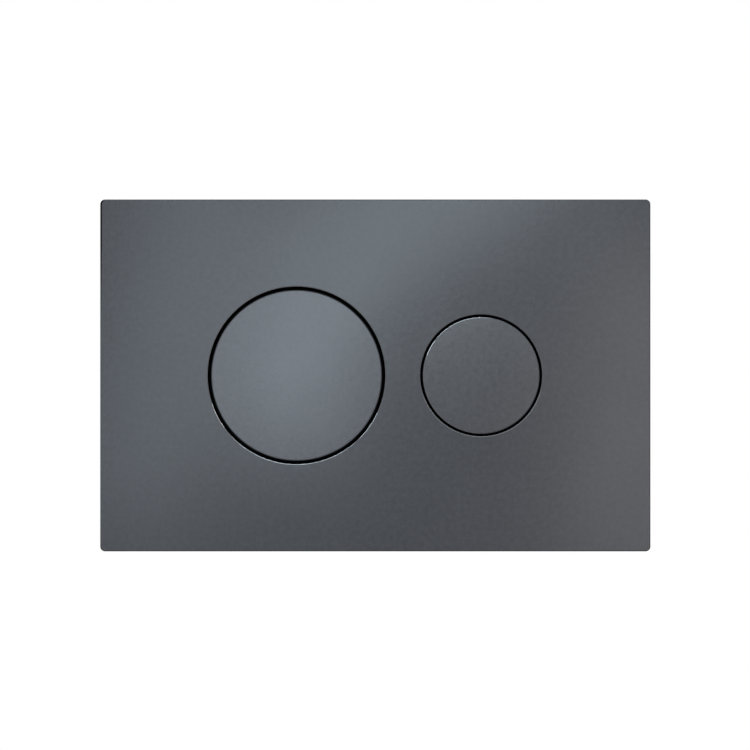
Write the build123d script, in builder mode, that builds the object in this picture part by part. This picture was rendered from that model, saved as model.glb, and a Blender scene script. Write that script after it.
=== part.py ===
from build123d import *
import math
import os

# Flush button plate for a concealed cistern: a flat moulded cover with a large full-flush
# button and a small half-flush button, its guide bracket, push rods and wall frame.
# Millimetres. X runs to the right and Z up as the user sees it. Y runs into the wall.
# The origin is the middle of the plate on the finished wall, so the front is at negative Y.

# Cover plate
PLATE_WIDTH = 247.0
PLATE_HEIGHT = 158.0
PLATE_DEPTH = 12.0
PLATE_CORNER_RADIUS = 2.2
PLATE_EDGE_CHAMFER = 0.25
FRONT_WALL = 2.5
SKIRT_WALL = 2.0
COLLAR_WALL = 1.6
COLLAR_HEIGHT = 5.0
HOLE_EDGE_CHAMFER = 0.25
PLATE_RIB_WALL = 1.4
PLATE_RIB_HEIGHT = 2.7
LONG_RIB_INSET = 21.0

# Buttons: the large cap is set back a little behind the cover's face, and the small one stands proud
FULL_X = -35.4
HALF_X = 47.5
FULL_CAP_DIAMETER = 76.7
HALF_CAP_DIAMETER = 52.4
FULL_CAP_GAP = 1.55
HALF_CAP_GAP = 1.15
FULL_CAP_SET_BACK = 0.4
HALF_CAP_PROUD = 0.2
BUTTON_TRAVEL = 5.0
STOP_CLEARANCE = 0.2
CAP_FACE = 2.0
CAP_DEPTH = 3.5
CAP_SKIRT = 1.8
CAP_EDGE_CHAMFER = 0.4
TONGUE_WIDTH = 5.0
TONGUE_WALL = 1.8
TONGUE_LENGTH = 2.6
TONGUE_INSET = 12.0

# Sliders that carry the caps
SLIDER_CARRIER = 1.8
SLIDER_RIB_HEIGHT = 2.0
SLIDER_RIB_WALL = 1.6
PRESS_CLEARANCE = 0.1
STEM_DIAMETER = 13.0
STEM_REACH = 4.0
STEM_BORE_DEPTH = 18.0
LEG_COUNT = 4
LEG_ANGLE = 45.0
LEG_INSET = 6.0
LEG_WALL = 2.0
LEG_WIDTH = 7.0
HOOK_DEPTH = 1.4
HOOK_LAND = 0.6
HOOK_LENGTH = 2.6
GUIDE_CLEARANCE = 0.3

# Return springs
SPRING_OUTER_DIAMETER = 18.4
SPRING_WIRE = 1.1
SPRING_TURNS = 5
SPRING_BENDS_PER_TURN = 8
SPRING_WIRE_SIDES = 6
SPRING_CLEARANCE = 0.8
SPRING_SEAT_GAP = 0.05

# Guide bracket
BRACKET_PLATE = 2.2
BRACKET_FLANGE_WALL = 1.8
BRACKET_FLANGE_HEIGHT = 3.0
BRACKET_RIB_WALL = 1.6
BRACKET_CORNER_RADIUS = 3.0
BRACKET_MARGIN = 1.7
BRACKET_WEB_HEIGHT = 36.0
BARREL_DEPTH = 10.0
BARREL_WALL = 1.8
BARREL_FLOOR = 2.0

# Bracket screws and their bosses
BOSS_DIAMETER = 7.0
BOSS_GAP = 0.6
SCREW_DIAMETER = 2.9
SCREW_LENGTH = 8.0
SCREW_HEAD_FLATS = 5.5
SCREW_HEAD_HEIGHT = 2.2
SCREW_CLEARANCE = 0.05
SCREW_HOLE_CLEARANCE = 0.25

# Push rods and lock nuts
ROD_DIAMETER = 8.0
ROD_LENGTH = 80.0
ROD_ENGAGEMENT = 16.0
ROD_NOSE_DIAMETER = 6.0
ROD_NOSE_LENGTH = 12.0
THREAD_CLEARANCE = 0.1
NUT_ACROSS_FLATS = 13.0
NUT_HEIGHT = 5.0
NUT_CHAMFER = 0.6

# Wall frame
FRAME_GAP = 2.4
FRAME_DEPTH = 6.0
FRAME_BASE = 2.5
FRAME_RIM = 2.0
FRAME_BAR = 14.6
FRAME_CORNER_RADIUS = 5.0
WINDOW_GAP = 5.0
WINDOW_CORNER_RADIUS = 4.0
SLOT_WIDTH = 7.0
SLOT_LENGTH = 16.0
FRAME_WEB_SPACING = 40.0

# Hooks, ledges, catches and clips that hold the cover on the frame
CATCH_X = 70.0
CATCH_WIDTH = 18.0
LEDGE_REACH = 1.5
LEDGE_FRONT = 2.4
LEDGE_DEPTH = 1.5
HOOK_LIP_DEPTH = 1.9
HOOK_LIP_CLEARANCE = 0.3
CLIP_WIDTH = 14.0
CLIP_WALL = 0.5
CLIP_CLEARANCE = 0.1
CLIP_BUMP = 1.2

# Fixing bolts
BOLT_DIAMETER = 6.0
BOLT_NECK_DIAMETER = 5.2
BOLT_REACH = 62.0
BOLT_NECK_END = 1.0
BOLT_HEAD_FLATS = 10.0
BOLT_HEAD_HEIGHT = 4.0
KNOB_LENGTH = 24.0
KNOB_WIDTH = 14.0
KNOB_CORNER = 3.0
KNOB_FACE = 1.0
KNOB_FLOOR = 1.0

# Depths along Y, from the wall towards the user and back into the wall
WALL_Y = 0.0
FRONT_Y = WALL_Y - PLATE_DEPTH
FRONT_INNER_Y = FRONT_Y + FRONT_WALL
COLLAR_END_Y = FRONT_INNER_Y + COLLAR_HEIGHT
PLATE_RIB_END_Y = FRONT_INNER_Y + PLATE_RIB_HEIGHT
CAP_INNER_Y = FRONT_Y + CAP_FACE
CAP_RIM_Y = FRONT_Y + CAP_DEPTH
TONGUE_END_Y = CAP_INNER_Y + TONGUE_LENGTH
SLIDER_REAR_Y = CAP_INNER_Y + SLIDER_CARRIER
SLIDER_RIB_END_Y = SLIDER_REAR_Y + SLIDER_RIB_HEIGHT
BRACKET_FRONT_Y = SLIDER_RIB_END_Y + BUTTON_TRAVEL + STOP_CLEARANCE
BRACKET_REAR_Y = BRACKET_FRONT_Y + BRACKET_PLATE
BRACKET_FLANGE_END_Y = BRACKET_REAR_Y + BRACKET_FLANGE_HEIGHT
BARREL_FLOOR_Y = BRACKET_FRONT_Y + BARREL_DEPTH
BARREL_END_Y = BARREL_FLOOR_Y + BARREL_FLOOR
STEM_END_Y = BARREL_END_Y + STEM_REACH
HOOK_Y = BRACKET_REAR_Y + STOP_CLEARANCE
LEG_TIP_Y = HOOK_Y + HOOK_LENGTH
ROD_START_Y = STEM_END_Y - ROD_ENGAGEMENT
ROD_END_Y = ROD_START_Y + ROD_LENGTH
FRAME_FRONT_Y = WALL_Y - FRAME_DEPTH
FRAME_BASE_Y = WALL_Y - FRAME_BASE
LEDGE_FRONT_Y = WALL_Y - LEDGE_FRONT
BOLT_SEAT_Y = FRAME_BASE_Y - KNOB_FLOOR

# Radii, outlines and places worked out from the sizes above
FULL_CAP_RADIUS = FULL_CAP_DIAMETER / 2
HALF_CAP_RADIUS = HALF_CAP_DIAMETER / 2
FULL_HOLE_RADIUS = FULL_CAP_RADIUS + FULL_CAP_GAP
HALF_HOLE_RADIUS = HALF_CAP_RADIUS + HALF_CAP_GAP
BOSS_RADIUS = BOSS_DIAMETER / 2
STEM_RADIUS = STEM_DIAMETER / 2
ROD_RADIUS = ROD_DIAMETER / 2
STEM_BORE_RADIUS = ROD_RADIUS + THREAD_CLEARANCE
SPRING_OUTER_RADIUS = SPRING_OUTER_DIAMETER / 2
BARREL_INNER_RADIUS = SPRING_OUTER_RADIUS + SPRING_CLEARANCE
BARREL_OUTER_RADIUS = BARREL_INNER_RADIUS + BARREL_WALL
INNER_WIDTH = PLATE_WIDTH - 2 * SKIRT_WALL
INNER_HEIGHT = PLATE_HEIGHT - 2 * SKIRT_WALL
FRAME_WIDTH = INNER_WIDTH - 2 * FRAME_GAP
FRAME_HEIGHT = INNER_HEIGHT - 2 * FRAME_GAP
WINDOW_HEIGHT = FRAME_HEIGHT - 2 * FRAME_BAR


def boss_offset(hole_radius):
    """Sideways and upward distance of a button's two screw bosses from its centre."""
    return (hole_radius + COLLAR_WALL + BOSS_GAP + BOSS_RADIUS) * math.sin(math.radians(45))


def bracket_half(hole_radius):
    """Half the side of the bracket's square pad, which backs a button's hole and its collar."""
    boss_edge = boss_offset(hole_radius) + BOSS_RADIUS
    return max(hole_radius + COLLAR_WALL, boss_edge) + BRACKET_MARGIN


BRACKET_REACH = max(
    -FULL_X + bracket_half(FULL_HOLE_RADIUS), HALF_X + bracket_half(HALF_HOLE_RADIUS)
)
WINDOW_WIDTH = 2 * (BRACKET_REACH + WINDOW_GAP)
BOLT_X = (WINDOW_WIDTH + FRAME_WIDTH) / 4
BOSS_PLACES = [
    (FULL_X - boss_offset(FULL_HOLE_RADIUS), -boss_offset(FULL_HOLE_RADIUS)),
    (FULL_X - boss_offset(FULL_HOLE_RADIUS), boss_offset(FULL_HOLE_RADIUS)),
    (HALF_X + boss_offset(HALF_HOLE_RADIUS), -boss_offset(HALF_HOLE_RADIUS)),
    (HALF_X + boss_offset(HALF_HOLE_RADIUS), boss_offset(HALF_HOLE_RADIUS)),
]


def facing(y):
    """A sketch plane across the plate at depth y, X right and Z up, extruding to the user."""
    return Plane.XZ.offset(-y)


def radial_plane(x, angle):
    """A sketch plane through a button's axis: its own X points outwards at angle, its Y inwards."""
    across = math.cos(math.radians(angle))
    up = math.sin(math.radians(angle))
    return Plane(origin=(x, 0, 0), x_dir=(across, 0, up), z_dir=(-up, 0, across))


def save(builder, node):
    """Labels a finished piece and writes its file."""
    builder.part.label = node
    export_step(builder.part, f"parts/{node}.step")


os.makedirs("parts", exist_ok=True)

# Cover plate: a shallow tray with a collar behind each button hole, screw bosses, ribs,
# ledges under its top edge and catches above its bottom edge
with BuildPart() as face_plate:
    with BuildSketch(facing(WALL_Y)):
        RectangleRounded(PLATE_WIDTH, PLATE_HEIGHT, PLATE_CORNER_RADIUS)
    extrude(amount=PLATE_DEPTH)
    chamfer(face_plate.faces().sort_by(Axis.Y)[0].edges(), PLATE_EDGE_CHAMFER)
    with BuildSketch(facing(WALL_Y)):
        Rectangle(INNER_WIDTH, INNER_HEIGHT)
    extrude(amount=WALL_Y - FRONT_INNER_Y, mode=Mode.SUBTRACT)

    # Ribs inside the tray: a lengthwise pair, and an upright one through each button
    long_rib_z = INNER_HEIGHT / 2 - LONG_RIB_INSET
    with BuildSketch(facing(PLATE_RIB_END_Y)):
        with Locations((0, -long_rib_z), (0, long_rib_z)):
            Rectangle(INNER_WIDTH, PLATE_RIB_WALL)
        with Locations((FULL_X, 0), (HALF_X, 0)):
            Rectangle(PLATE_RIB_WALL, INNER_HEIGHT)
        with Locations(((FULL_X + HALF_X) / 2, 0)):
            Rectangle(HALF_X - FULL_X, PLATE_RIB_WALL)
    extrude(amount=PLATE_RIB_END_Y - FRONT_INNER_Y)

    # Screw bosses for the guide bracket
    with BuildSketch(facing(BRACKET_FRONT_Y)):
        with Locations(*BOSS_PLACES):
            Circle(BOSS_RADIUS)
    extrude(amount=BRACKET_FRONT_Y - FRONT_INNER_Y)
    with BuildSketch(facing(BRACKET_FRONT_Y)):
        with Locations(*BOSS_PLACES):
            Circle(SCREW_DIAMETER / 2 + SCREW_CLEARANCE)
    extrude(amount=SCREW_LENGTH - BRACKET_PLATE + STOP_CLEARANCE, mode=Mode.SUBTRACT)

    # Button holes with their collars
    with BuildSketch(facing(COLLAR_END_Y)):
        with Locations((FULL_X, 0)):
            Circle(FULL_HOLE_RADIUS + COLLAR_WALL)
        with Locations((HALF_X, 0)):
            Circle(HALF_HOLE_RADIUS + COLLAR_WALL)
    extrude(amount=COLLAR_HEIGHT)
    with BuildSketch(facing(COLLAR_END_Y)):
        with Locations((FULL_X, 0)):
            Circle(FULL_HOLE_RADIUS)
        with Locations((HALF_X, 0)):
            Circle(HALF_HOLE_RADIUS)
    extrude(amount=COLLAR_END_Y - FRONT_Y, mode=Mode.SUBTRACT)
    chamfer(face_plate.faces().sort_by(Axis.Y)[0].inner_wires().edges(), HOLE_EDGE_CHAMFER)

    # Ledges under the top edge and catches above the bottom edge
    with BuildSketch(facing(LEDGE_FRONT_Y + LEDGE_DEPTH)):
        with GridLocations(2 * CATCH_X, INNER_HEIGHT - LEDGE_REACH, 2, 2):
            Rectangle(CATCH_WIDTH, LEDGE_REACH)
    extrude(amount=LEDGE_DEPTH)
save(face_plate, "face_plate")


# Button cap: the painted disc that is pressed, with a short skirt and four tongues behind
def make_cap(node, x, radius, set_back):
    with BuildPart() as cap:
        with BuildSketch(facing(CAP_RIM_Y)):
            with Locations((x, 0)):
                Circle(radius)
        extrude(amount=CAP_DEPTH - set_back)
        chamfer(cap.faces().sort_by(Axis.Y)[0].edges(), CAP_EDGE_CHAMFER)
        with BuildSketch(facing(CAP_RIM_Y)):
            with Locations((x, 0)):
                Circle(radius - CAP_SKIRT)
        extrude(amount=CAP_RIM_Y - CAP_INNER_Y, mode=Mode.SUBTRACT)
        with BuildSketch(facing(TONGUE_END_Y)):
            with Locations((x, 0)):
                with PolarLocations(radius - TONGUE_INSET, LEG_COUNT, LEG_ANGLE):
                    Rectangle(TONGUE_WALL, TONGUE_WIDTH)
        extrude(amount=TONGUE_LENGTH)
    save(cap, node)


make_cap("full_flush_cap", FULL_X, FULL_CAP_RADIUS, FULL_CAP_SET_BACK)
make_cap("half_flush_cap", HALF_X, HALF_CAP_RADIUS, -HALF_CAP_PROUD)


# Slider: the moulding pressed inside a cap: a square carrier with a hollow stem, ribs, and a
# hooked leg at each corner
def make_slider(node, x, cap_radius):
    leg_radius = cap_radius - LEG_INSET
    carrier_side = math.sqrt(2) * leg_radius + LEG_WIDTH / math.sqrt(2)
    rib_start = SPRING_OUTER_RADIUS + SPRING_CLEARANCE
    rib_length = carrier_side / 2 - rib_start
    with BuildPart() as slider:
        with BuildSketch(facing(SLIDER_REAR_Y)):
            with Locations((x, 0)):
                Rectangle(carrier_side, carrier_side)
                with PolarLocations(cap_radius - TONGUE_INSET, LEG_COUNT, LEG_ANGLE):
                    Rectangle(
                        TONGUE_WALL + 2 * PRESS_CLEARANCE,
                        TONGUE_WIDTH + 2 * PRESS_CLEARANCE,
                        mode=Mode.SUBTRACT,
                    )
        extrude(amount=SLIDER_CARRIER)
        with BuildSketch(facing(SLIDER_RIB_END_Y)):
            with Locations((x, 0)):
                with PolarLocations(rib_start + rib_length / 2, LEG_COUNT):
                    Rectangle(rib_length, SLIDER_RIB_WALL)
        extrude(amount=SLIDER_RIB_HEIGHT)
        with BuildSketch(facing(STEM_END_Y)):
            with Locations((x, 0)):
                Circle(STEM_RADIUS)
        extrude(amount=STEM_END_Y - SLIDER_REAR_Y)
        with BuildSketch(facing(STEM_END_Y)):
            with Locations((x, 0)):
                Circle(STEM_BORE_RADIUS)
        extrude(amount=STEM_BORE_DEPTH, mode=Mode.SUBTRACT)
        for leg in range(LEG_COUNT):
            with BuildSketch(radial_plane(x, LEG_ANGLE + leg * 360 / LEG_COUNT)):
                with BuildLine():
                    Polyline(
                        (leg_radius - LEG_WALL, SLIDER_REAR_Y),
                        (leg_radius, SLIDER_REAR_Y),
                        (leg_radius, HOOK_Y),
                        (leg_radius + HOOK_DEPTH, HOOK_Y),
                        (leg_radius + HOOK_DEPTH, HOOK_Y + HOOK_LAND),
                        (leg_radius, LEG_TIP_Y),
                        (leg_radius - LEG_WALL, LEG_TIP_Y),
                        close=True,
                    )
                make_face()
            extrude(amount=LEG_WIDTH / 2, both=True)
    save(slider, node)


make_slider("full_flush_slider", FULL_X, FULL_CAP_RADIUS)
make_slider("half_flush_slider", HALF_X, HALF_CAP_RADIUS)


# Return spring: a coil round the stem, between the slider and the floor of the bracket's barrel,
# wound as short straight bends
def make_spring(node, x):
    coil_radius = SPRING_OUTER_RADIUS - SPRING_WIRE / 2
    start_y = SLIDER_REAR_Y + SPRING_WIRE / 2 + SPRING_SEAT_GAP
    end_y = BARREL_FLOOR_Y - SPRING_WIRE / 2 - SPRING_SEAT_GAP
    bends = SPRING_TURNS * SPRING_BENDS_PER_TURN
    turn = 2 * math.pi / SPRING_BENDS_PER_TURN
    with BuildPart() as spring:
        with BuildLine() as coil:
            Polyline(
                [
                    (
                        x + coil_radius * math.cos(turn * bend),
                        start_y + (end_y - start_y) * bend / bends,
                        coil_radius * math.sin(turn * bend),
                    )
                    for bend in range(bends + 1)
                ]
            )
        with BuildSketch(Plane(origin=coil.line @ 0, z_dir=coil.line % 0)):
            RegularPolygon(SPRING_WIRE / 2, SPRING_WIRE_SIDES)
        sweep(path=coil.line, transition=Transition.RIGHT)
    save(spring, node)


make_spring("full_flush_spring", FULL_X)
make_spring("half_flush_spring", HALF_X)


# Push rod: screwed into the slider's stem, with a smooth nose that meets the flush valve
def make_rod(node, x):
    with BuildPart() as rod:
        with BuildSketch(facing(ROD_END_Y - ROD_NOSE_LENGTH)):
            with Locations((x, 0)):
                Circle(ROD_RADIUS)
        extrude(amount=ROD_LENGTH - ROD_NOSE_LENGTH)
        with BuildSketch(facing(ROD_END_Y)):
            with Locations((x, 0)):
                Circle(ROD_NOSE_DIAMETER / 2)
        extrude(amount=ROD_NOSE_LENGTH)
    save(rod, node)


make_rod("full_flush_rod", FULL_X)
make_rod("half_flush_rod", HALF_X)


# Lock nut: a hexagon run down the rod against the end of the stem
def make_lock_nut(node, x):
    with BuildPart() as lock_nut:
        with BuildSketch(facing(STEM_END_Y + NUT_HEIGHT)):
            with Locations((x, 0)):
                RegularPolygon(NUT_ACROSS_FLATS / 2, 6, major_radius=False)
        extrude(amount=NUT_HEIGHT)
        chamfer(lock_nut.faces().filter_by(Axis.Y).edges(), NUT_CHAMFER)
        with BuildSketch(facing(STEM_END_Y + NUT_HEIGHT)):
            with Locations((x, 0)):
                Circle(STEM_BORE_RADIUS)
        extrude(amount=NUT_HEIGHT, mode=Mode.SUBTRACT)
    save(lock_nut, node)


make_lock_nut("full_flush_lock_nut", FULL_X)
make_lock_nut("half_flush_lock_nut", HALF_X)

# Guide bracket: two square pads joined by a web, a flange round its back, and for each
# button a barrel that holds the spring, a bore for the stem and four windows for the legs
full_pad = 2 * bracket_half(FULL_HOLE_RADIUS)
half_pad = 2 * bracket_half(HALF_HOLE_RADIUS)
full_pocket = full_pad - 2 * BRACKET_FLANGE_WALL
half_pocket = half_pad - 2 * BRACKET_FLANGE_WALL
button_spacing = HALF_X - FULL_X
button_middle = (FULL_X + HALF_X) / 2
with BuildPart() as guide_bracket:
    with BuildSketch(facing(BRACKET_FLANGE_END_Y)):
        with Locations((FULL_X, 0)):
            RectangleRounded(full_pad, full_pad, BRACKET_CORNER_RADIUS)
        with Locations((HALF_X, 0)):
            RectangleRounded(half_pad, half_pad, BRACKET_CORNER_RADIUS)
        with Locations((button_middle, 0)):
            Rectangle(button_spacing, BRACKET_WEB_HEIGHT)
    extrude(amount=BRACKET_FLANGE_END_Y - BRACKET_FRONT_Y)

    # Pockets that leave the flange, and the ribs left standing in them
    with BuildSketch(facing(BRACKET_FLANGE_END_Y)):
        with Locations((FULL_X, 0)):
            Rectangle(full_pocket, full_pocket)
        with Locations((HALF_X, 0)):
            Rectangle(half_pocket, half_pocket)
        with Locations((button_middle, 0)):
            Rectangle(button_spacing, BRACKET_WEB_HEIGHT - 2 * BRACKET_FLANGE_WALL)
        Rectangle(2 * BRACKET_REACH, BRACKET_RIB_WALL, mode=Mode.SUBTRACT)
        with Locations((FULL_X, 0), (HALF_X, 0)):
            Rectangle(BRACKET_RIB_WALL, full_pad, mode=Mode.SUBTRACT)
    extrude(amount=BRACKET_FLANGE_HEIGHT, mode=Mode.SUBTRACT)

    # Barrels with a floor for the spring and a bore for the stem
    with BuildSketch(facing(BARREL_END_Y)):
        with Locations((FULL_X, 0), (HALF_X, 0)):
            Circle(BARREL_OUTER_RADIUS)
    extrude(amount=BARREL_END_Y - BRACKET_FRONT_Y)
    with BuildSketch(facing(BARREL_FLOOR_Y)):
        with Locations((FULL_X, 0), (HALF_X, 0)):
            Circle(BARREL_INNER_RADIUS)
    extrude(amount=BARREL_DEPTH, mode=Mode.SUBTRACT)
    with BuildSketch(facing(BARREL_END_Y)):
        with Locations((FULL_X, 0), (HALF_X, 0)):
            Circle(STEM_RADIUS + GUIDE_CLEARANCE)
    extrude(amount=BARREL_FLOOR, mode=Mode.SUBTRACT)

    # Windows for the legs and holes for the screws
    with BuildSketch(facing(BRACKET_REAR_Y)):
        for seat_x, cap_radius in ((FULL_X, FULL_CAP_RADIUS), (HALF_X, HALF_CAP_RADIUS)):
            window_outer = cap_radius - LEG_INSET + GUIDE_CLEARANCE
            window_inner = cap_radius - LEG_INSET - LEG_WALL - HOOK_DEPTH - GUIDE_CLEARANCE
            with Locations((seat_x, 0)):
                with PolarLocations((window_outer + window_inner) / 2, LEG_COUNT, LEG_ANGLE):
                    Rectangle(window_outer - window_inner, LEG_WIDTH + 2 * GUIDE_CLEARANCE)
        with Locations(*BOSS_PLACES):
            Circle(SCREW_DIAMETER / 2 + SCREW_HOLE_CLEARANCE)
    extrude(amount=BRACKET_PLATE, mode=Mode.SUBTRACT)
save(guide_bracket, "guide_bracket")

# Hexagon-head self-tapping screws that hold the bracket to the cover's bosses
with BuildPart() as bracket_screws:
    with BuildSketch(facing(BRACKET_REAR_Y + SCREW_HEAD_HEIGHT)):
        with Locations(*BOSS_PLACES):
            RegularPolygon(SCREW_HEAD_FLATS / 2, 6, major_radius=False)
    extrude(amount=SCREW_HEAD_HEIGHT)
    with BuildSketch(facing(BRACKET_REAR_Y)):
        with Locations(*BOSS_PLACES):
            Circle(SCREW_DIAMETER / 2)
    extrude(amount=SCREW_LENGTH)
save(bracket_screws, "bracket_screws")

# Wall frame: a flat ring with rims round its outside and its window, a bolt slot in each
# side bar between two webs, and two lips on its top edge that the cover hangs on
side_bar = (FRAME_WIDTH - WINDOW_WIDTH) / 2
lip_reach = FRAME_GAP - HOOK_LIP_CLEARANCE
with BuildPart() as mounting_frame:
    with BuildSketch(facing(WALL_Y)):
        RectangleRounded(FRAME_WIDTH, FRAME_HEIGHT, FRAME_CORNER_RADIUS)
        RectangleRounded(WINDOW_WIDTH, WINDOW_HEIGHT, WINDOW_CORNER_RADIUS, mode=Mode.SUBTRACT)
        with Locations((-BOLT_X, 0), (BOLT_X, 0)):
            SlotOverall(SLOT_LENGTH, SLOT_WIDTH, mode=Mode.SUBTRACT)
    extrude(amount=FRAME_BASE)
    with BuildSketch(facing(FRAME_BASE_Y)):
        RectangleRounded(FRAME_WIDTH, FRAME_HEIGHT, FRAME_CORNER_RADIUS)
        Rectangle(FRAME_WIDTH - 2 * FRAME_RIM, FRAME_HEIGHT - 2 * FRAME_RIM, mode=Mode.SUBTRACT)
        Rectangle(WINDOW_WIDTH + 2 * FRAME_RIM, WINDOW_HEIGHT + 2 * FRAME_RIM)
        RectangleRounded(WINDOW_WIDTH, WINDOW_HEIGHT, WINDOW_CORNER_RADIUS, mode=Mode.SUBTRACT)
        with GridLocations(2 * BOLT_X, FRAME_WEB_SPACING, 2, 2):
            Rectangle(side_bar - FRAME_RIM, FRAME_RIM)
    extrude(amount=FRAME_DEPTH - FRAME_BASE)
    lip_rear_y = LEDGE_FRONT_Y - HOOK_LIP_CLEARANCE
    with BuildSketch(facing(lip_rear_y)):
        lip_z = (FRAME_HEIGHT + lip_reach) / 2
        with Locations((-CATCH_X, lip_z), (CATCH_X, lip_z)):
            Rectangle(CATCH_WIDTH, lip_reach)
    extrude(amount=HOOK_LIP_DEPTH)
save(mounting_frame, "mounting_frame")


# Spring clip: a folded steel strip pushed over the frame's bottom rim, with a bump that
# snaps in front of the cover's catch
def make_plate_clip(node, x):
    rim_inner = -FRAME_HEIGHT / 2 + FRAME_RIM + CLIP_CLEARANCE
    rim_outer = -FRAME_HEIGHT / 2 - CLIP_CLEARANCE
    fold_y = FRAME_FRONT_Y - CLIP_CLEARANCE
    tail_y = LEDGE_FRONT_Y - CLIP_CLEARANCE - CLIP_WALL
    bump_y = (fold_y + tail_y) / 2
    with BuildPart() as plate_clip:
        with BuildSketch(Plane.YZ.offset(x)):
            with BuildLine():
                Polyline(
                    (FRAME_BASE_Y - CLIP_CLEARANCE, rim_inner),
                    (fold_y, rim_inner),
                    (fold_y, rim_outer),
                    (bump_y, rim_outer - CLIP_BUMP),
                    (tail_y, rim_outer),
                )
                offset(amount=CLIP_WALL, kind=Kind.INTERSECTION, side=Side.RIGHT)
            make_face()
        extrude(amount=CLIP_WIDTH / 2, both=True)
    save(plate_clip, node)


make_plate_clip("left_plate_clip", -CATCH_X)
make_plate_clip("right_plate_clip", CATCH_X)


# Fixing bolt: hexagon head, waisted neck through the frame's slot, thread into the cistern
def make_fixing_bolt(node, x):
    with BuildPart() as fixing_bolt:
        with BuildSketch(facing(BOLT_SEAT_Y)):
            with Locations((x, 0)):
                RegularPolygon(BOLT_HEAD_FLATS / 2, 6, major_radius=False)
        extrude(amount=BOLT_HEAD_HEIGHT)
        with BuildSketch(facing(BOLT_NECK_END)):
            with Locations((x, 0)):
                Circle(BOLT_NECK_DIAMETER / 2)
        extrude(amount=BOLT_NECK_END - BOLT_SEAT_Y)
        with BuildSketch(facing(BOLT_REACH)):
            with Locations((x, 0)):
                Circle(BOLT_DIAMETER / 2)
        extrude(amount=BOLT_REACH - BOLT_NECK_END)
    save(fixing_bolt, node)


make_fixing_bolt("left_fixing_bolt", -BOLT_X)
make_fixing_bolt("right_fixing_bolt", BOLT_X)


# Thumb knob: an oblong moulding with a hexagon socket for a bolt's head, turned by hand
def make_thumb_knob(node, x):
    with BuildPart() as thumb_knob:
        with BuildSketch(facing(FRAME_BASE_Y)) as knob_outline:
            with Locations((x, 0)):
                Rectangle(KNOB_WIDTH, KNOB_LENGTH)
            chamfer(knob_outline.vertices(), KNOB_CORNER)
        extrude(amount=KNOB_FLOOR + BOLT_HEAD_HEIGHT + KNOB_FACE)
        with BuildSketch(facing(BOLT_SEAT_Y)):
            with Locations((x, 0)):
                RegularPolygon(BOLT_HEAD_FLATS / 2 + PRESS_CLEARANCE, 6, major_radius=False)
        extrude(amount=BOLT_HEAD_HEIGHT + KNOB_FACE, mode=Mode.SUBTRACT)
        with BuildSketch(facing(FRAME_BASE_Y)):
            with Locations((x, 0)):
                Circle(BOLT_NECK_DIAMETER / 2 + THREAD_CLEARANCE)
        extrude(amount=KNOB_FLOOR, mode=Mode.SUBTRACT)
    save(thumb_knob, node)


make_thumb_knob("left_thumb_knob", -BOLT_X)
make_thumb_knob("right_thumb_knob", BOLT_X)
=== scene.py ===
import math

import bmesh
import bpy
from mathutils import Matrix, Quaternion, Vector


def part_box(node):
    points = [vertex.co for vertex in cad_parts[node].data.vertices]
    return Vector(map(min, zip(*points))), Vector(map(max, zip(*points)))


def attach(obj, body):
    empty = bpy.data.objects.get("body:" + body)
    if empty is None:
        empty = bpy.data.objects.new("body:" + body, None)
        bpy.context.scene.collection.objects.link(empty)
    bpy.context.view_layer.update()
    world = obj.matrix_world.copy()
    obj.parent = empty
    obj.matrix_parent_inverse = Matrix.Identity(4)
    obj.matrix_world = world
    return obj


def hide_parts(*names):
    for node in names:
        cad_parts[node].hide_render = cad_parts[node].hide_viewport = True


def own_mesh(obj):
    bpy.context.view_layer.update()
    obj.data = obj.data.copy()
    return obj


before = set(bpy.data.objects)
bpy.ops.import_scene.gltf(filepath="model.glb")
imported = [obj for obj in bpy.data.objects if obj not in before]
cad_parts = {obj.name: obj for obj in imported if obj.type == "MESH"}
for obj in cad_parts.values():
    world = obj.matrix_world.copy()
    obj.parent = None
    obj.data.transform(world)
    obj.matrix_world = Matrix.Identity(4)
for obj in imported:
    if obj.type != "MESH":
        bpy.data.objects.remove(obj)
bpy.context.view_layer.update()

# Lengths are in metres. X runs to the user's right, Z up, and Y into the wall.
MM = 0.001
WALL_BODY = "wall_assembly"
LARGE = "full_flush"
SMALL = "half_flush"
BUTTONS = (LARGE, SMALL)
SIDES = ("left", "right")

# Finishes, as linear colours
PAINT_DARK = (0.0545, 0.0565, 0.065, 1)
PAINT_PALE = (0.0705, 0.0725, 0.083, 1)
# The next colour is a painted highlight for the lower lip of the small hole.
PAINT_LIP_HIGHLIGHT = (0.22, 0.224, 0.232, 1)
# The next colour is unpainted plastic, made darker than the black moulding as painted shade in the
# gaps, on faces towards the cover and along the front edges.
SHADE_AND_BARE_PLASTIC = (0.005, 0.005, 0.0055, 1)
BLACK_DEEP = (0.014, 0.014, 0.015, 1)
BLACK_WORN = (0.022, 0.022, 0.024, 1)
WHITE_CLEAN = (0.72, 0.72, 0.69, 1)
WHITE_AGED = (0.68, 0.675, 0.64, 1)
ZINC_BRIGHT = (0.56, 0.57, 0.58, 1)
ZINC_DULL = (0.42, 0.42, 0.41, 1)
SPRING_BRIGHT = (0.56, 0.55, 0.53, 1)
SPRING_DULL = (0.36, 0.35, 0.34, 1)
# The next colour is darker and browner, for the roots of threads.
THREAD_ROOT_COLOUR = (0.09, 0.085, 0.078, 1)
PALE_FLOOR = (0.6, 0.6, 0.59, 1)
PURE_WHITE = (1, 1, 1, 1)

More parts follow.
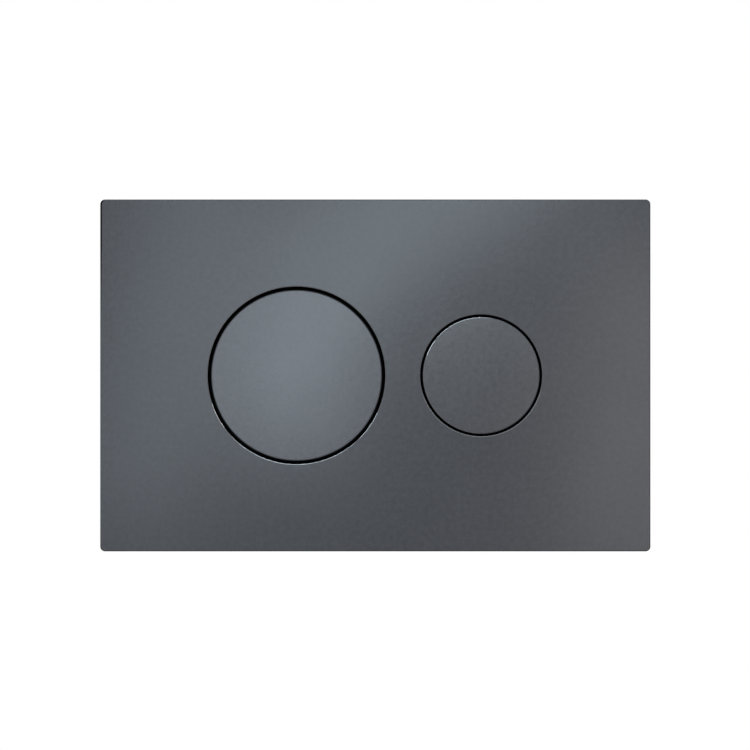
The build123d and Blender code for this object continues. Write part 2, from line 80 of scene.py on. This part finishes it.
# Grey paint: the size of its marks, and how far grain, peel and drift move its tone and its satin
GRAIN_SIZE = 0.6 * MM
PEEL_SIZE = 2.4 * MM
DRIFT_SIZE = 30 * MM
TONE_SWINGS = (1.4, 2.2, 0.4)
SATIN = 0.22
SATIN_SWINGS = (0.08, 0.05, 0.06)
DULLER = 0.38
PAINT_RELIEF = 0.035 * MM
GRAIN_RELIEF = 0.4
PEEL_RELIEF = 0.6
COAT_ROUGHNESS = 0.04
COVER_COAT_IOR = 1.8
CAP_COAT_IOR = 1.65
SMALL_CAP_BOW = 1 / 1.15
# How dark the front edges are painted as shade along the sides and along the bottom.
SIDE_EDGE_SHADE = 0.4
LOWER_EDGE_SHADE = 0.7

# Bands of the paint. Each goes softly from nothing at its first value to all at its second.
RIM_BAND = (-0.5 * MM, -0.3 * MM)
COAT_BAND = (0.02 * MM, 0.08 * MM)
OVERSPRAY_BAND = (0.4 * MM, 0.7 * MM)
OVERSPRAY_REACH = 0.3 * MM
SMALL_CAP_DULL_SIDE = (46 * MM, 54 * MM)
SKIRT_BAND = (-1.2 * MM, -0.7 * MM)
INSIDE_BAND = (2.35 * MM, 2.45 * MM)
COLLAR_BAND = (1.9 * MM, 2.1 * MM)
FRONT_BAND = (1.0 * MM, 0.4 * MM)
LOWER_EDGE_BAND = (-74 * MM, -78 * MM)
UPPER_EDGE_BAND = (74 * MM, 78 * MM)
# Bands of the painted shade along the front edges, widest on the upper left side.
SHADED_EDGE_BAND = (-1.0 * MM, -0.55 * MM)
SHADED_HEIGHT_BAND = (15 * MM, 65 * MM)
SHADED_LEFT_BAND = (-121.6 * MM, -122.4 * MM)
# Bands of the painted highlight on the lower lip of the small hole.
LIP_HIGHLIGHT_BAND = (1.55 * MM, 1.4 * MM)
LIP_HIGHLIGHT_HEIGHT_BAND = (-4 * MM, -12 * MM)

# Moulded plastic
TEXTURE_SIZE = 0.4 * MM
TEXTURE_RELIEF = 0.025 * MM
TEXTURE_STRENGTH = 0.6
FLOW_SIZE = 24 * MM
FLOW_STRETCH = (1, 3, 1)
FLOW_SHARE = 0.6
RUB_SIZE = 5 * MM
RUB_SHARE = 0.4
MOULDING_SWINGS = (0.14, 0.16)
MOULDING_ROOT_DARKENING = 0.4
# Faces whose normals point towards the cover between these values are painted near black and matt
# as shade.
SHADED_FRONT_BAND = (-0.5, -0.8)

# Metal
DRAWN_SIZE = 0.5 * MM
DRAWN_RELIEF = 0.008 * MM
DRAWN_STRENGTH = 0.5
DRAWN_SHARE = 0.5
CLOUD_SIZE = 2.5 * MM
CLOUD_SHARE = 0.5
CLOUD_SWINGS = (0.2,)
METAL_ROOT_DARKENING = 0.8
ROOT_ROUGHNESS = 0.2

# Shared by the finishes
MARK_ROUGHNESS = 0.55
MOTTLE_BAND = (0.3, 0.7)
GROOVE_MARK = "groove"
GROOVE_BAND = (0.1 * MM, 0.5 * MM)

# Rounding of painted, moulded and folded edges
PAINTED_EDGE = 0.1 * MM
MOULDED_EDGE = 0.22 * MM
FOLDED_EDGE = 0.24 * MM
EDGE_STEPS = 3
EDGE_ANGLE = math.radians(28)
SHARP_ANGLE = math.radians(40)
FLAT_ANGLE = math.radians(0.5)
WELD_DISTANCE = 0.002 * MM
COVER_CORNER = 2.2 * MM

# Turned and threaded pieces
TURNED_SIDES = 48
ROWS_PER_PITCH = 8
ROD_PITCH = 1.5 * MM
ROD_THREAD_DEPTH = 0.75 * MM
ROD_NOSE_LENGTH = 12.0 * MM
ROD_NOSE_RADIUS = 3.0 * MM
ROD_TIP_ROUND = 1.2 * MM
ROD_TIP_STEPS = 5
BOLT_RADIUS = 3.0 * MM
BOLT_PITCH = 1.0 * MM
BOLT_THREAD_DEPTH = 0.55 * MM
BOLT_HEAD_HEIGHT = 4.0 * MM
BOLT_NECK_RADIUS = 2.6 * MM
BOLT_NECK_END = 1.0 * MM
SCREW_RADIUS = 1.45 * MM
SCREW_PITCH = 1.1 * MM
SCREW_THREAD_DEPTH = 0.4 * MM
SCREW_HEAD_HEIGHT = 2.2 * MM
SCREW_POINT = 1.4 * MM
SCREW_TIP_RADIUS = SCREW_RADIUS / 4

# Hexagon heads, with their radii as shares of the distance from the middle to a flat
HEAD_CHAMFER = 0.4 * MM
HEAD_DISH = 0.5 * MM
DISH_FLOOR = 0.6
DISH_RIM = 0.74
FACE_RIM = 0.97
CHAMFER_MIDDLE = 1.1
WHOLE_CORNERS = 2

# Return springs
SPRING_WIRE = 1.1 * MM
SPRING_TURNS = 5
SPRING_CLOSED_TURNS = 0.75
SPRING_STEPS_PER_TURN = 40
SPRING_WIRE_SIDES = 12

# Camera, surroundings and floor
CAMERA_DISTANCE = 0.7
CAMERA_AIM_X = -0.15 * MM
CAMERA_AIM_Z = 0.18 * MM
VIEW_WIDTH = 336.55 * MM
SENSOR_WIDTH = 36.0
STUDIO_FILL = 0.32
FLOOR_DROP = 1.0
FLOOR_HALF = 6.0
FLOOR_ROUGHNESS = 0.9

# Lamps: place, width, height, roll in degrees, power in watts, and colour
COOL_LIGHT = (0.76, 0.9, 1.0)
WARM_LIGHT = (1.0, 0.97, 0.94)
LAMPS = {
    "slanted_strip": ((0.059, -0.85, 0.184), 0.36, 0.11, 36, 1.11, COOL_LIGHT),
    "right_strip": ((0.26, -0.85, -0.04), 0.1, 0.35, -4, 0.47, WARM_LIGHT),
    "left_strip": ((-0.196, -0.85, 0.078), 0.1, 0.48, -12, 0.68, COOL_LIGHT),
    "middle_square": ((-0.08, -0.85, -0.007), 0.08, 0.13, 0, 0.32, COOL_LIGHT),
    "overhead": ((0.0, -0.07, 0.9), 1.7, 0.12, 0, 7.5, COOL_LIGHT),
    "upper_left": ((-0.8, -0.08, 0.5), 0.3, 0.3, 0, 2.8, COOL_LIGHT),
    "upper_right": ((0.8, -0.06, 0.45), 0.3, 0.3, 0, 2.0, WARM_LIGHT),
    "behind": ((-0.5, 0.9, 0.6), 1.4, 1.4, 0, 12.0, WARM_LIGHT),
}


class Wire:
    """A shader socket that takes part in Python sums."""

    def __init__(self, finish, socket):
        self.finish = finish
        self.socket = socket

    def maths(self, operation, *others):
        return self.finish.maths(operation, self, *others)

    def __add__(self, other):
        return self.maths("ADD", other)

    def __sub__(self, other):
        return self.maths("SUBTRACT", other)

    def __rsub__(self, other):
        return self.finish.maths("SUBTRACT", other, self)

    def __mul__(self, other):
        return self.maths("MULTIPLY", other)

    def __abs__(self):
        return self.maths("ABSOLUTE")

    __radd__ = __add__
    __rmul__ = __mul__


class Finish:
    """A material, or the studio's air, while its nodes are being laid out."""

    def __init__(self, name, holder=None):
        self.holder = holder or bpy.data.materials.new(name)
        self.holder.use_nodes = True
        self.tree = self.holder.node_tree
        self.shader = self.tree.nodes.get("Principled BSDF")

    def feed(self, socket, value):
        """Links a wire to a socket, or sets the socket's own value."""
        if isinstance(value, Wire):
            self.tree.links.new(value.socket, socket)
        else:
            socket.default_value = value

    def node(self, kind, settings, sockets, output=0):
        """Adds a node, with its settings first and then its sockets' values or links."""
        made = self.tree.nodes.new(kind)
        for name, value in settings.items():
            setattr(made, name, value)
        for key, value in sockets.items():
            self.feed(made.inputs[key], value)
        return Wire(self, made.outputs[output])

    def maths(self, operation, *values):
        return self.node("ShaderNodeMath", {"operation": operation}, dict(enumerate(values)))

    def place(self):
        """The point on the object, in metres."""
        return self.node("ShaderNodeTexCoord", {}, {}, "Object")

    def stretched(self, place, scale):
        return self.node("ShaderNodeVectorMath", {"operation": "MULTIPLY"}, {0: place, 1: scale})

    def axis(self, place, name):
        return self.node("ShaderNodeSeparateXYZ", {}, {0: place}, name)

    def speckle(self, place, size, detail=2.0):
        """Noise from 0 to 1 with marks of about the size given."""
        sockets = {"Vector": place, "Scale": 1 / size, "Detail": detail,
                   "Roughness": MARK_ROUGHNESS}
        return self.node("ShaderNodeTexNoise", {}, sockets, "Fac")

    def varied(self, mean, marks, swings):
        """A value with a mean, which marks from 0 to 1 move up and down by their swings."""
        for mark, swing in zip(marks, swings):
            mean = mean + (mark - 0.5) * swing
        return mean

    def step(self, value, low, high):
        """A soft step from 0 at low to 1 at high."""
        sockets = {"Value": value, "From Min": low, "From Max": high}
        return self.node("ShaderNodeMapRange", {"interpolation_type": "SMOOTHSTEP"}, sockets)

    def root_share(self):
        """The share of the darker, browner root colour in a thread, from 0 at its crests to 1 at
        its roots.
        """
        groove = self.node("ShaderNodeAttribute", {"attribute_name": GROOVE_MARK}, {}, "Fac")
        return self.step(groove, *GROOVE_BAND)

    def mixed(self, share, first, second):
        """A colour from first at share 0 to second at share 1."""
        return self.node("ShaderNodeMix", {"data_type": "RGBA"}, {0: share, 6: first, 7: second}, 2)

    def border(self, place, middle_x, half_width, half_height, corner):
        """The distance outside a rectangle with round corners, exact near its outline."""
        across = abs(self.axis(place, "X") - middle_x) - (half_width - corner)
        up = abs(self.axis(place, "Z")) - (half_height - corner)
        across = self.maths("MAXIMUM", across, 0.0)
        up = self.maths("MAXIMUM", up, 0.0)
        return self.maths("SQRT", across * across + up * up) - corner

    def bump(self, height, depth, strength=1.0):
        sockets = {"Height": height, "Distance": depth, "Strength": strength}
        self.set("Normal", self.node("ShaderNodeBump", {}, sockets))

    def set(self, name, value):
        self.feed(self.shader.inputs[name], value)

    def matt(self, colour):
        return self.node("ShaderNodeBsdfDiffuse", {}, {"Color": colour})

    def uncover(self, share, under):
        """Shows another shader in the place of the finish where share is 1."""
        sockets = {0: share, 1: Wire(self, self.shader.outputs[0]), 2: under}
        shown = self.node("ShaderNodeMixShader", {}, sockets)
        self.feed(self.tree.nodes["Material Output"].inputs["Surface"], shown)

    def looked_at(self):
        """1 for rays from the camera, gloss and glass, and 0 for rays that only carry light."""
        seen = 0.0
        for ray in ("Is Camera Ray", "Is Glossy Ray", "Is Transmission Ray"):
            seen = self.maths("MAXIMUM", seen, self.node("ShaderNodeLightPath", {}, {}, ray))
        return seen


plate_low, plate_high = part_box("face_plate")
cover_outline = (0.0, plate_high.x, plate_high.z, COVER_CORNER)


def cap_outline(button):
    """The middle of a round cap, and its radius as half width, half height and corner."""
    low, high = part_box(f"{button}_cap")
    return ((low.x + high.x) / 2,) + (high.z,) * 3


def cover_zones(finish, place, depth, border, rim):
    """The shares of the cover that are the painted skirt, the unpainted plastic inside, the front
    edges that are painted dark as shade, drawn as paint wearing through, and the small hole's lower
    lip, which is painted pale as a highlight."""
    across, up = finish.axis(place, "X"), finish.axis(place, "Z")
    from_caps = {button: finish.border(place, *cap_outline(button)) for button in BUTTONS}
    skirt = finish.step(border, *SKIRT_BAND)
    inside = finish.step(depth, *INSIDE_BAND) * (1 - skirt)
    for from_cap in from_caps.values():
        inside = inside * finish.step(from_cap, *COLLAR_BAND)
    # Painted shade along the front edges, drawn as paint wearing through to the near black plastic:
    # strongest along the bottom, none along the top, and a wider dark line on the upper part of the
    # left side.
    lower = finish.step(up, *LOWER_EDGE_BAND) * (LOWER_EDGE_SHADE - SIDE_EDGE_SHADE)
    upper = finish.step(up, *UPPER_EDGE_BAND) * SIDE_EDGE_SHADE
    edge_shade = rim * (SIDE_EDGE_SHADE + lower - upper)
    upper_left = finish.step(up, *SHADED_HEIGHT_BAND) * finish.step(across, *SHADED_LEFT_BAND)
    wear_and_edge_shade = finish.maths("MAXIMUM", edge_shade, finish.step(border, *SHADED_EDGE_BAND) * upper_left)
    wear_and_edge_shade = wear_and_edge_shade * finish.step(depth, *FRONT_BAND)
    # Painted highlight: the lower lip of the small hole is painted pale, below its middle.
    lip = finish.step(from_caps[SMALL], *LIP_HIGHLIGHT_BAND)
    rub_and_highlight = lip * finish.step(up, *LIP_HIGHLIGHT_HEIGHT_BAND)
    return skirt, inside, wear_and_edge_shade, rub_and_highlight


def grey_paint(name, node, outline, shade, gloss, dull_side=None, bow=None, is_cover=False):
    """Satin grey paint over black plastic. It covers the front, lies thick and glossy on the edges
    except on the dull rim, and stops with a little overspray on walls that lead inwards. Past the
    overspray those walls show unpainted plastic that is darker and matter than the black moulding,
    as painted shade that keeps the gaps dark. The rim is dull all round, or only over a dull side.
    A bow, as one over its radius, bends the light on a cap that isn't quite flat from top to
    bottom. The cover has zones of its own, with painted shade along its front edges and a painted
    highlight on the small hole's lower lip."""
    finish = Finish(name)
    place = finish.place()
    depth = finish.axis(place, "Y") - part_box(node)[0].y
    border = finish.border(place, *outline)
    grain = finish.speckle(place, GRAIN_SIZE)
    peel = finish.speckle(place, PEEL_SIZE)
    drift = finish.speckle(place, DRIFT_SIZE)
    mist = finish.speckle(place, GRAIN_SIZE, detail=1.0)
    marks = (grain, peel, drift)
    tone = finish.varied(0.5, marks, TONE_SWINGS)
    dark, pale = ([part * shade for part in paint[:3]] + [1] for paint in (PAINT_DARK, PAINT_PALE))
    colour = finish.mixed(tone, dark, pale)
    rim = finish.step(border, *RIM_BAND)
    if dull_side:
        rim = rim * finish.step(finish.axis(place, "X"), *dull_side)
    satin = finish.varied(SATIN, marks, SATIN_SWINGS) + rim * DULLER
    coat = finish.step(depth, *COAT_BAND) * (1 - rim)
    # Past the overspray, walls that lead inwards show plastic darker and matter than the black
    # moulding, as painted shade in the gaps.
    bare_and_shaded = finish.step(depth + (mist - 0.5) * OVERSPRAY_REACH, *OVERSPRAY_BAND)
    relief = grain * GRAIN_RELIEF + peel * PEEL_RELIEF
    if bow:
        up = finish.axis(place, "Z")
        relief = relief - up * up * (bow / 2 / PAINT_RELIEF)
    if is_cover:
        skirt, inside, wear_and_edge_shade, rub_and_highlight = cover_zones(finish, place, depth, border, rim)
        plastic = finish.mixed(tone, BLACK_DEEP, BLACK_WORN)
        # The pale colour on the small hole's lower lip is a painted highlight.
        colour = finish.mixed(inside, finish.mixed(rub_and_highlight, colour, PAINT_LIP_HIGHLIGHT), plastic)
        satin = satin + inside * DULLER
        coat = coat * (1 - inside)
        # The front edges show the near black plastic as painted shade.
        bare_and_shaded = finish.maths("MAXIMUM", bare_and_shaded * (1 - skirt) * (1 - inside), wear_and_edge_shade)
    finish.set("Base Color", colour)
    finish.set("Roughness", satin)
    finish.set("Coat Weight", coat)
    finish.set("Coat Roughness", COAT_ROUGHNESS)
    finish.set("Coat IOR", COVER_COAT_IOR if is_cover else CAP_COAT_IOR)
    finish.set("Specular IOR Level", gloss)
    finish.bump(relief, PAINT_RELIEF)
    # Where the paint stops or the edges are shaded, a near black matt shader stands in, partly
    # unpainted plastic and partly painted shade.
    finish.uncover(bare_and_shaded, finish.matt(SHADE_AND_BARE_PLASTIC))
    return finish.holder


def moulding(name, deep, wear_and_edge_shade, roughness, gloss, shaded_front=False):
    """Moulded plastic with a fine spark-eroded texture and slow shifts of tone. With a shaded
    front, the faces towards the cover are painted near black and matt as shade, so the gaps round
    the caps stay dark."""
    finish = Finish(name)
    place = finish.place()
    texture = finish.speckle(place, TEXTURE_SIZE)
    flow = finish.speckle(finish.stretched(place, FLOW_STRETCH), FLOW_SIZE, detail=3.0)
    rub_and_highlight = finish.speckle(place, RUB_SIZE, detail=4.0)
    tone = finish.step(flow * FLOW_SHARE + rub_and_highlight * RUB_SHARE, *MOTTLE_BAND)
    colour = finish.mixed(tone, deep, wear_and_edge_shade)
    # Thread roots take a darker, browner colour.
    finish.set("Base Color", finish.mixed(finish.root_share() * MOULDING_ROOT_DARKENING, colour, THREAD_ROOT_COLOUR))
    finish.set("Roughness", finish.varied(roughness, (texture, rub_and_highlight), MOULDING_SWINGS))
    finish.set("Specular IOR Level", gloss)
    finish.bump(texture, TEXTURE_RELIEF, TEXTURE_STRENGTH)
    # Painted shade: faces towards the cover become near black and matt.
    if shaded_front:
        facing = finish.axis(finish.node("ShaderNodeNewGeometry", {}, {}, "Normal"), "Y")
        finish.uncover(finish.step(facing, *SHADED_FRONT_BAND), finish.matt(SHADE_AND_BARE_PLASTIC))
    return finish.holder


def plated_steel(name, bright, dull, lines, roughness):
    """Bright metal with drawing lines along one way and cloudy plating."""
    finish = Finish(name)
    place = finish.place()
    drawn = finish.speckle(finish.stretched(place, lines), DRAWN_SIZE, detail=3.0)
    cloud = finish.speckle(place, CLOUD_SIZE, detail=3.0)
    tone = finish.step(drawn * DRAWN_SHARE + cloud * CLOUD_SHARE, *MOTTLE_BAND)
    root_share = finish.root_share()
    colour = finish.mixed(tone, dull, bright)
    cloudy = finish.varied(roughness, (cloud,), CLOUD_SWINGS)
    # Thread roots take a darker, browner colour and more roughness.
    finish.set("Base Color", finish.mixed(root_share * METAL_ROOT_DARKENING, colour, THREAD_ROOT_COLOUR))
    finish.set("Metallic", 1.0)
    finish.set("Roughness", cloudy + root_share * ROOT_ROUGHNESS)
    finish.bump(drawn, DRAWN_RELIEF, DRAWN_STRENGTH)
    return finish.holder


def show(piece, node, body, material):
    """Puts a finished piece in the place of a solid of the frame."""
    piece.data.materials.clear()
    piece.data.materials.append(material)
    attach(piece, body)
    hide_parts(node)


def new_piece(name, mesh):
    piece = bpy.data.objects.new(name, mesh)
    bpy.context.scene.collection.objects.link(piece)
    return piece


def smooth(mesh):
    mesh.polygons.foreach_set("use_smooth", [True] * len(mesh.polygons))


def softened(node, name, radius):
    """A copy of a solid with its flat faces made whole and its edges rounded."""
    form = bmesh.new()
    form.from_mesh(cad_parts[node].data)
    bmesh.ops.remove_doubles(form, verts=form.verts, dist=WELD_DISTANCE)
    bmesh.ops.dissolve_limit(form, angle_limit=FLAT_ANGLE, verts=form.verts, edges=form.edges)
    mesh = bpy.data.meshes.new(name)
    form.to_mesh(mesh)
    form.free()
    smooth(mesh)
    piece = new_piece(name, mesh)
    rounding = piece.modifiers.new("rounding", "BEVEL")
    rounding.limit_method = "ANGLE"
    rounding.angle_limit = EDGE_ANGLE
    rounding.width = radius
    rounding.segments = EDGE_STEPS
    rounding.use_clamp_overlap = False
    rounding.harden_normals = True
    shading = piece.modifiers.new("shading", "WEIGHTED_NORMAL")
    shading.keep_sharp = False
    return piece


def skin(name, lofts):
    """A mesh of one or more closed lofts, each over rings with as many points as the next. A point
    is its place and then its depth in a thread."""
    form = bmesh.new()
    groove = form.verts.layers.float.new(GROOVE_MARK)
    for rings in lofts:
        loops = []
        for ring_points in rings:
            loops.append([form.verts.new(point[:3]) for point in ring_points])
            for vertex, point in zip(loops[-1], ring_points):
                vertex[groove] = point[3]
        for near, far in zip(loops, loops[1:]):
            for i in range(len(near)):
                form.faces.new((near[i - 1], near[i], far[i], far[i - 1]))
        form.faces.new(loops[0][::-1])
        form.faces.new(loops[-1])
    bmesh.ops.recalc_face_normals(form, faces=form.faces)
    mesh = bpy.data.meshes.new(name)
    form.to_mesh(mesh)
    form.free()
    smooth(mesh)
    mesh.set_sharp_from_angle(angle=SHARP_ANGLE)
    return new_piece(name, mesh)


def ring(x, y, z, radius_at, crest=0.0):
    """A ring of points about the Y axis through x and z, its radius a function of the turn."""
    points = []
    for i in range(TURNED_SIDES):
        turn = 2 * math.pi * i / TURNED_SIDES
        radius = radius_at(turn)
        groove = max(crest - radius, 0)
        points.append((x + radius * math.cos(turn), y, z + radius * math.sin(turn), groove))
    return points


def turned_ring(x, y, z, radius):
    return ring(x, y, z, lambda turn: radius)


def hexagon_ring(x, y, z, flats, limit):
    """A hexagon with corners to the left and right, cut back to a circle of the limit's radius."""
    def radius_at(turn):
        return min(flats / math.cos(turn % (math.pi / 3) - math.pi / 6), limit)

    return ring(x, y, z, radius_at)


def thread_rings(x, z, start, end, radius, depth, pitch):
    """Rings of a threaded stretch with flat crests and roots. It fades in at its start and out at
    its end."""
    rows = math.ceil((end - start) / pitch * ROWS_PER_PITCH)
    rings = []
    for row in range(rows + 1):
        y = start + (end - start) * row / rows
        cut = depth * min(1, (y - start) / pitch, (end - y) / pitch)

        def radius_at(turn, y=y, cut=cut):
            crest = abs((y / pitch - turn / (2 * math.pi)) % 1 - 0.5) * 2
            return radius - cut * min(1, max(0, 1.5 - 2 * crest))

        rings.append(ring(x, y, z, radius_at, radius))
    return rings


def head_rings(x, z, face, seat, flats):
    """Rings of a hexagon head from its dished, chamfered face to its seat."""
    inwards = math.copysign(1, seat - face)
    chamfer = HEAD_CHAMFER * inwards
    return [
        turned_ring(x, face + HEAD_DISH * inwards, z, flats * DISH_FLOOR),
        turned_ring(x, face, z, flats * DISH_RIM),
        turned_ring(x, face, z, flats * FACE_RIM),
        hexagon_ring(x, face + chamfer, z, flats, flats * CHAMFER_MIDDLE),
        hexagon_ring(x, face + 2 * chamfer, z, flats, flats * WHOLE_CORNERS),
        hexagon_ring(x, seat, z, flats, flats * WHOLE_CORNERS),
    ]


def push_rod(button):
    """A threaded plastic rod with a plain rounded nose."""
    low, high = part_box(f"{button}_rod")
    x = (low.x + high.x) / 2
    radius = (high.x - low.x) / 2
    nose_start = high.y - ROD_NOSE_LENGTH
    rings = thread_rings(x, 0, low.y, nose_start, radius, ROD_THREAD_DEPTH, ROD_PITCH)
    rings.append(turned_ring(x, nose_start, 0, ROD_NOSE_RADIUS))
    for step in range(ROD_TIP_STEPS + 1):
        turn = math.pi / 2 * step / ROD_TIP_STEPS
        y = high.y - ROD_TIP_ROUND * (1 - math.sin(turn))
        rings.append(turned_ring(x, y, 0, ROD_NOSE_RADIUS - ROD_TIP_ROUND * (1 - math.cos(turn))))
    return skin(f"{button}_threaded_rod", [rings])


def fixing_bolt(side):
    """A wall bolt with a hexagon head, a plain neck that turns in the frame, and a thread."""
    low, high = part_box(f"{side}_fixing_bolt")
    x = (low.x + high.x) / 2
    seat = low.y + BOLT_HEAD_HEIGHT
    thread_end = high.y - BOLT_THREAD_DEPTH
    rings = head_rings(x, 0, low.y, seat, (high.z - low.z) / 2)
    rings.append(turned_ring(x, seat, 0, BOLT_NECK_RADIUS))
    rings.append(turned_ring(x, BOLT_NECK_END, 0, BOLT_NECK_RADIUS))
    rings += thread_rings(
        x, 0, BOLT_NECK_END, thread_end, BOLT_RADIUS, BOLT_THREAD_DEPTH, BOLT_PITCH)
    rings.append(turned_ring(x, high.y, 0, BOLT_RADIUS - BOLT_THREAD_DEPTH))
    return skin(f"{side}_threaded_bolt", [rings])


def bracket_screws():
    """The four screws that hold the bracket, one in each quarter of the plate."""
    points = [vertex.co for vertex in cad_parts["bracket_screws"].data.vertices]
    lofts = []
    for right in (False, True):
        for upper in (False, True):
            own = [p for p in points if (p.x > 0) == right and (p.z > 0) == upper]
            left_x, right_x = min(p.x for p in own), max(p.x for p in own)
            low_z, high_z = min(p.z for p in own), max(p.z for p in own)
            tip, face = min(p.y for p in own), max(p.y for p in own)
            x, z = (left_x + right_x) / 2, (low_z + high_z) / 2
            seat = face - SCREW_HEAD_HEIGHT
            rings = head_rings(x, z, face, seat, (high_z - low_z) / 2)
            thread = thread_rings(
                x, z, tip + SCREW_POINT, seat, SCREW_RADIUS, SCREW_THREAD_DEPTH, SCREW_PITCH)
            rings += thread[::-1]
            rings.append(turned_ring(x, tip, z, SCREW_TIP_RADIUS))
            lofts.append(rings)
    return skin("hexagon_head_screws", lofts)


def return_spring(button):
    """A coil of round wire, closed at each end."""
    low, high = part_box(f"{button}_spring")
    x = (low.x + high.x) / 2
    length = high.y - low.y
    wire = SPRING_WIRE / 2
    coil = (high.x - low.x) / 2 - wire
    open_turns = SPRING_TURNS - 2 * SPRING_CLOSED_TURNS
    open_rise = length - SPRING_WIRE - 2 * SPRING_WIRE * SPRING_CLOSED_TURNS
    angles = [2 * math.pi * i / SPRING_WIRE_SIDES for i in range(SPRING_WIRE_SIDES)]
    rings = []
    for step in range(SPRING_TURNS * SPRING_STEPS_PER_TURN + 1):
        turns = step / SPRING_STEPS_PER_TURN
        opened = min(max(turns - SPRING_CLOSED_TURNS, 0), open_turns)
        closed = turns - opened
        y = low.y + wire + SPRING_WIRE * closed + open_rise * opened / open_turns
        out = Vector((math.cos(2 * math.pi * turns), 0, math.sin(2 * math.pi * turns)))
        centre = Vector((x, y, 0)) + out * coil
        around = [centre + wire * (math.cos(a) * out + Vector((0, math.sin(a), 0))) for a in angles]
        rings.append([(*point, 0.0) for point in around])
    spring = skin(f"{button}_coil_spring", [rings])
    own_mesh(spring)
    return spring


# The black moulding's faces towards the cover are painted near black as shade.
black_plastic = moulding(
    "black_moulding", BLACK_DEEP, BLACK_WORN, roughness=0.6, gloss=0.25, shaded_front=True)
white_plastic = moulding("white_moulding", WHITE_AGED, WHITE_CLEAN, roughness=0.42, gloss=0.45)
zinc = plated_steel("zinc_plating", ZINC_BRIGHT, ZINC_DULL, lines=(1, 6, 1), roughness=0.34)
spring_steel = plated_steel(
    "spring_steel", SPRING_BRIGHT, SPRING_DULL, lines=(1, 0.2, 1), roughness=0.32)
cover_paint = grey_paint(
    "satin_grey_cover", "face_plate", cover_outline, shade=1.0, gloss=0.3, is_cover=True)
cap_paints = {
    LARGE: grey_paint(
        "satin_grey_large_cap", "full_flush_cap", cap_outline(LARGE), shade=1.23, gloss=0.38),
    SMALL: grey_paint(
        "satin_grey_small_cap", "half_flush_cap", cap_outline(SMALL), shade=0.97, gloss=0.42,
        dull_side=SMALL_CAP_DULL_SIDE, bow=SMALL_CAP_BOW),
}

# Painted front: the cover and the two button caps
cover = softened("face_plate", "painted_cover", PAINTED_EDGE)
show(cover, "face_plate", WALL_BODY, cover_paint)
for button in BUTTONS:
    cap = softened(f"{button}_cap", f"{button}_painted_cap", PAINTED_EDGE)
    show(cap, f"{button}_cap", f"{button}_button", cap_paints[button])

# Mechanism behind each button
for button in BUTTONS:
    body = f"{button}_button"
    for part in ("slider", "lock_nut"):
        node = f"{button}_{part}"
        piece = softened(node, f"{node}_moulding", MOULDED_EDGE)
        show(piece, node, body, black_plastic)
    show(push_rod(button), f"{button}_rod", body, white_plastic)
    show(return_spring(button), f"{button}_spring", WALL_BODY, spring_steel)

# Bracket, frame and fixings
bracket = softened("guide_bracket", "ribbed_guide_bracket", MOULDED_EDGE)
show(bracket, "guide_bracket", WALL_BODY, black_plastic)
wall_frame = softened("mounting_frame", "white_wall_frame", MOULDED_EDGE)
show(wall_frame, "mounting_frame", WALL_BODY, white_plastic)
show(bracket_screws(), "bracket_screws", WALL_BODY, zinc)
for side in SIDES:
    knob = softened(f"{side}_thumb_knob", f"{side}_finger_knob", MOULDED_EDGE)
    show(knob, f"{side}_thumb_knob", WALL_BODY, black_plastic)
    clip = softened(f"{side}_plate_clip", f"{side}_folded_clip", FOLDED_EDGE)
    show(clip, f"{side}_plate_clip", WALL_BODY, spring_steel)
    show(fixing_bolt(side), f"{side}_fixing_bolt", WALL_BODY, zinc)


# Light and camera
def softbox(name, place, width, height, roll, power, colour):
    """A lamp that faces the plate's middle, its width turned by roll degrees from the level."""
    lamp = bpy.data.lights.new(name, "AREA")
    lamp.shape = "RECTANGLE"
    lamp.size = width
    lamp.size_y = height
    lamp.energy = power
    lamp.color = colour
    holder = bpy.data.objects.new(name, lamp)
    holder.location = place
    facing = (-Vector(place)).to_track_quat("-Z", "Y")
    holder.rotation_euler = (facing @ Quaternion((0, 0, 1), math.radians(roll))).to_euler()
    holder.visible_camera = False
    bpy.context.scene.collection.objects.link(holder)


def studio():
    """White surroundings that light the object softly and show white to the camera and in gloss."""
    world = bpy.data.worlds.new("white_studio")
    bpy.context.scene.world = world
    air = Finish("white_studio", world)
    background = air.tree.nodes["Background"]
    air.feed(background.inputs["Color"], PURE_WHITE)
    air.feed(background.inputs["Strength"], STUDIO_FILL + air.looked_at() * (1 - STUDIO_FILL))


def pale_floor():
    """A plain floor far below the plate, which hangs on a wall. It looks as white as the air."""
    near, far = -FLOOR_HALF, FLOOR_HALF
    corners = ((near, near), (far, near), (far, far), (near, far))
    mesh = bpy.data.meshes.new("pale_floor")
    mesh.from_pydata([(x, y, -FLOOR_DROP) for x, y in corners], [], [range(len(corners))])
    finish = Finish("pale_floor")
    finish.set("Base Color", PALE_FLOOR)
    finish.set("Roughness", FLOOR_ROUGHNESS)
    glow = finish.node("ShaderNodeEmission", {}, {"Color": PURE_WHITE})
    finish.uncover(finish.looked_at(), glow)
    finish.holder.cycles.emission_sampling = "NONE"
    mesh.materials.append(finish.holder)
    new_piece("pale_floor", mesh)


def front_camera():
    """A camera straight in front of the plate."""
    camera_data = bpy.data.cameras.new("camera")
    camera_data.sensor_width = SENSOR_WIDTH
    camera_data.lens = SENSOR_WIDTH * CAMERA_DISTANCE / VIEW_WIDTH
    camera = bpy.data.objects.new("camera", camera_data)
    camera.location = (CAMERA_AIM_X, plate_low.y - CAMERA_DISTANCE, CAMERA_AIM_Z)
    camera.rotation_euler = (math.pi / 2, 0, 0)
    bpy.context.scene.collection.objects.link(camera)
    bpy.context.scene.camera = camera


for lamp_name, lamp_settings in LAMPS.items():
    softbox(lamp_name, *lamp_settings)
studio()
pale_floor()
front_camera()
bpy.context.scene.view_settings.view_transform = "Standard"
